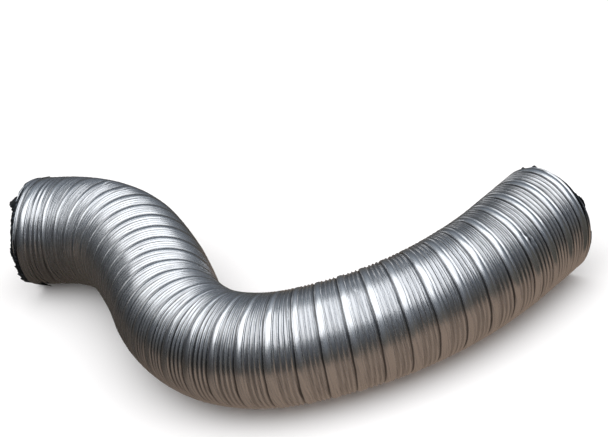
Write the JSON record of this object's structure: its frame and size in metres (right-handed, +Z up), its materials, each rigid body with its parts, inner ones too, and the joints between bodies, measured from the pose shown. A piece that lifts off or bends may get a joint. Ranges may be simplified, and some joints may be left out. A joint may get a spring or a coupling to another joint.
{
  "type": "flexible air duct",
  "caption": "Round flexible aluminium air duct, wound from a ribbed strip, lying in a long double bend, with two cut open ends.",
  "frame": {"origin": "middle of the duct's box, on the floor that it lies on", "axes": "+X along the longer side of the double bend, from the left cut end to the right one; +Y away from the viewer; +Z up"},
  "size_m": [0.53, 0.4544, 0.1055],
  "materials": {
    "foil": "satin, rolled and ribbed"
  },
  "bodies": {
    "left_end": {"left_cut_end": "foil"},
    "hoop_01": {"seam_hoop_01": "foil", "ribbed_web_01": "foil"},
    "hoop_02": {"seam_hoop_02": "foil", "ribbed_web_02": "foil"},
    "hoop_03": {"seam_hoop_03": "foil", "ribbed_web_03": "foil"},
    "hoop_04": {"seam_hoop_04": "foil", "ribbed_web_04": "foil"},
    "hoop_05": {"seam_hoop_05": "foil", "ribbed_web_05": "foil"},
    "hoop_06": {"seam_hoop_06": "foil", "ribbed_web_06": "foil"},
    "hoop_07": {"seam_hoop_07": "foil", "ribbed_web_07": "foil"},
    "hoop_08": {"seam_hoop_08": "foil", "ribbed_web_08": "foil"},
    "hoop_09": {"seam_hoop_09": "foil", "ribbed_web_09": "foil"},
    "hoop_10": {"seam_hoop_10": "foil", "ribbed_web_10": "foil"},
    "hoop_11": {"seam_hoop_11": "foil", "ribbed_web_11": "foil"},
    "hoop_12": {"seam_hoop_12": "foil", "ribbed_web_12": "foil"},
    "hoop_13": {"seam_hoop_13": "foil", "ribbed_web_13": "foil"},
    "hoop_14": {"seam_hoop_14": "foil", "ribbed_web_14": "foil", "ribbed_web_15": "foil"},
    "hoop_15": {"seam_hoop_15": "foil", "ribbed_web_16": "foil"},
    "hoop_16": {"seam_hoop_16": "foil", "ribbed_web_17": "foil"},
    "hoop_17": {"seam_hoop_17": "foil", "ribbed_web_18": "foil"},
    "hoop_18": {"seam_hoop_18": "foil", "ribbed_web_19": "foil"},
    "hoop_19": {"seam_hoop_19": "foil", "ribbed_web_20": "foil"},
    "hoop_20": {"seam_hoop_20": "foil", "ribbed_web_21": "foil"},
    "hoop_21": {"seam_hoop_21": "foil", "ribbed_web_22": "foil"},
    "hoop_22": {"seam_hoop_22": "foil", "ribbed_web_23": "foil"},
    "hoop_23": {"seam_hoop_23": "foil", "ribbed_web_24": "foil"},
    "hoop_24": {"seam_hoop_24": "foil", "ribbed_web_25": "foil"},
    "hoop_25": {"seam_hoop_25": "foil", "ribbed_web_26": "foil"},
    "hoop_26": {"seam_hoop_26": "foil", "ribbed_web_27": "foil"},
    "hoop_27": {"seam_hoop_27": "foil", "ribbed_web_28": "foil"},
    "hoop_28": {"seam_hoop_28": "foil", "ribbed_web_29": "foil"},
    "right_end": {"right_cut_end": "foil"}
  },
  "joints": [
    {"name": "left_end_pull", "type": "slide", "parent": "hoop_01", "child": "left_end", "axis": [-0.8829, 0.4695, 0], "range_m": [-0.004, 0.025], "deforming": ["ribbed_web_01"]},
    {"name": "bend_level_02", "type": "hinge", "parent": "hoop_02", "child": "hoop_01", "pos_m": [-0.18488, 0.14684, 0.0525], "axis": [0, 0, 1], "range_deg": [-21.5, 2.5], "deforming": ["ribbed_web_02"]},
    {"name": "bend_up_03", "type": "hinge", "parent": "hoop_03", "child": "hoop_02", "pos_m": [-0.16989, 0.13076, 0.0525], "axis": [0.7853, 0.6191, 0], "range_deg": [-7.3, 7.3], "deforming": ["ribbed_web_03"]},
    {"name": "bend_level_04", "type": "hinge", "parent": "hoop_04", "child": "hoop_03", "pos_m": [-0.15775, 0.11243, 0.0525], "axis": [0, 0, 1], "range_deg": [-21.5, 2.5], "deforming": ["ribbed_web_04"]},
    {"name": "bend_up_05", "type": "hinge", "parent": "hoop_05", "child": "hoop_04", "pos_m": [-0.14881, 0.09235, 0.0525], "axis": [0.9441, 0.3297, 0], "range_deg": [-7.3, 7.3], "deforming": ["ribbed_web_05"]},
    {"name": "bend_level_06", "type": "hinge", "parent": "hoop_06", "child": "hoop_05", "pos_m": [-0.14306, 0.07113, 0.0525], "axis": [0, 0, 1], "range_deg": [-14.1, 9.9], "deforming": ["ribbed_web_06"]},
    {"name": "bend_up_07", "type": "hinge", "parent": "hoop_07", "child": "hoop_06", "pos_m": [-0.13834, 0.04964, 0.0525], "axis": [0.9804, 0.1968, 0], "range_deg": [-11.8, 11.8], "deforming": ["ribbed_web_07"]},
    {"name": "bend_level_08", "type": "hinge", "parent": "hoop_08", "child": "hoop_07", "pos_m": [-0.13441, 0.02799, 0.0525], "axis": [0, 0, 1], "range_deg": [-14.1, 9.9], "deforming": ["ribbed_web_08"]},
    {"name": "bend_up_09", "type": "hinge", "parent": "hoop_09", "child": "hoop_08", "pos_m": [-0.13127, 0.00622, 0.0525], "axis": [0.9922, 0.1245, 0], "range_deg": [-11.8, 11.8], "deforming": ["ribbed_web_09"]},
    {"name": "bend_level_10", "type": "hinge", "parent": "hoop_10", "child": "hoop_09", "pos_m": [-0.12893, -0.01565, 0.0525], "axis": [0, 0, 1], "range_deg": [-14.1, 9.9], "deforming": ["ribbed_web_10"]},
    {"name": "bend_up_11", "type": "hinge", "parent": "hoop_11", "child": "hoop_10", "pos_m": [-0.12711, -0.03758, 0.0525], "axis": [0.9923, 0.1236, 0], "range_deg": [-10.2, 10.2], "deforming": ["ribbed_web_11"]},
    {"name": "bend_level_12", "type": "hinge", "parent": "hoop_12", "child": "hoop_11", "pos_m": [-0.12322, -0.05922, 0.0525], "axis": [0, 0, 1], "range_deg": [-5.8, 18.2], "deforming": ["ribbed_web_12"]},
    {"name": "bend_up_13", "type": "hinge", "parent": "hoop_13", "child": "hoop_12", "pos_m": [-0.11701, -0.08032, 0.0525], "axis": [0.9426, 0.3338, 0], "range_deg": [-10.2, 10.2], "deforming": ["ribbed_web_13"]},
    {"name": "bend_level_14", "type": "hinge", "parent": "hoop_14", "child": "hoop_13", "pos_m": [-0.10856, -0.10062, 0.0525], "axis": [0, 0, 1], "range_deg": [-5.8, 18.2], "deforming": ["ribbed_web_14"]},
    {"name": "bend_up_15", "type": "hinge", "parent": "hoop_14", "child": "hoop_15", "pos_m": [-0.09784, -0.11982, 0.0525], "axis": [-0.829, -0.5592, 0], "range_deg": [-5.9, 5.9], "deforming": ["ribbed_web_15"]},
    {"name": "bend_level_16", "type": "hinge", "parent": "hoop_15", "child": "hoop_16", "pos_m": [-0.08395, -0.13685, 0.0525], "axis": [0, 0, 1], "range_deg": [-22.4, 1.6], "deforming": ["ribbed_web_16"]},
    {"name": "bend_up_17", "type": "hinge", "parent": "hoop_16", "child": "hoop_17", "pos_m": [-0.06721, -0.1511, 0.0525], "axis": [-0.5764, -0.8171, 0], "range_deg": [-5.9, 5.9], "deforming": ["ribbed_web_17"]},
    {"name": "bend_level_18", "type": "hinge", "parent": "hoop_17", "child": "hoop_18", "pos_m": [-0.04818, -0.16209, 0.0525], "axis": [0, 0, 1], "range_deg": [-22.4, 1.6], "deforming": ["ribbed_web_18"]},
    {"name": "bend_up_19", "type": "hinge", "parent": "hoop_18", "child": "hoop_19", "pos_m": [-0.02747, -0.16946, 0.0525], "axis": [-0.2487, -0.9686, 0], "range_deg": [-5.9, 5.9], "deforming": ["ribbed_web_19"]},
    {"name": "bend_level_20", "type": "hinge", "parent": "hoop_19", "child": "hoop_20", "pos_m": [-0.0058, -0.17316, 0.0525], "axis": [0, 0, 1], "range_deg": [-16.8, 7.2], "deforming": ["ribbed_web_20"]},
    {"name": "bend_up_21", "type": "hinge", "parent": "hoop_20", "child": "hoop_21", "pos_m": [0.01613, -0.17485, 0.0525], "axis": [-0.0349, -0.9994, 0], "range_deg": [-10.9, 10.9], "deforming": ["ribbed_web_21"]},
    {"name": "bend_level_22", "type": "hinge", "parent": "hoop_21", "child": "hoop_22", "pos_m": [0.03812, -0.1747, 0.0525], "axis": [0, 0, 1], "range_deg": [-16.8, 7.2], "deforming": ["ribbed_web_22"]},
    {"name": "bend_up_23", "type": "hinge", "parent": "hoop_22", "child": "hoop_23", "pos_m": [0.06003, -0.1727, 0.0525], "axis": [0.1323, -0.9912, 0], "range_deg": [-10.9, 10.9], "deforming": ["ribbed_web_23"]},
    {"name": "bend_level_24", "type": "hinge", "parent": "hoop_23", "child": "hoop_24", "pos_m": [0.08169, -0.16888, 0.0525], "axis": [0, 0, 1], "range_deg": [-16.8, 7.2], "deforming": ["ribbed_web_24"]},
    {"name": "bend_up_25", "type": "hinge", "parent": "hoop_24", "child": "hoop_25", "pos_m": [0.10296, -0.16326, 0.0525], "axis": [0.2957, -0.9553, 0], "range_deg": [-10.9, 10.9], "deforming": ["ribbed_web_25"]},
    {"name": "bend_level_26", "type": "hinge", "parent": "hoop_25", "child": "hoop_26", "pos_m": [0.12368, -0.15589, 0.0525], "axis": [0, 0, 1], "range_deg": [-16.8, 7.2], "deforming": ["ribbed_web_26"]},
    {"name": "bend_up_27", "type": "hinge", "parent": "hoop_26", "child": "hoop_27", "pos_m": [0.14371, -0.1468, 0.0525], "axis": [0.4509, -0.8926, 0], "range_deg": [-10.9, 10.9], "deforming": ["ribbed_web_27"]},
    {"name": "bend_level_28", "type": "hinge", "parent": "hoop_27", "child": "hoop_28", "pos_m": [0.16291, -0.13607, 0.0525], "axis": [0, 0, 1], "range_deg": [-16.8, 7.2], "deforming": ["ribbed_web_28"]},
    {"name": "right_end_pull", "type": "slide", "parent": "hoop_28", "child": "right_end", "axis": [0.7793, 0.6266, 0], "range_m": [-0.004, 0.025], "deforming": ["ribbed_web_29"]}
  ]
}
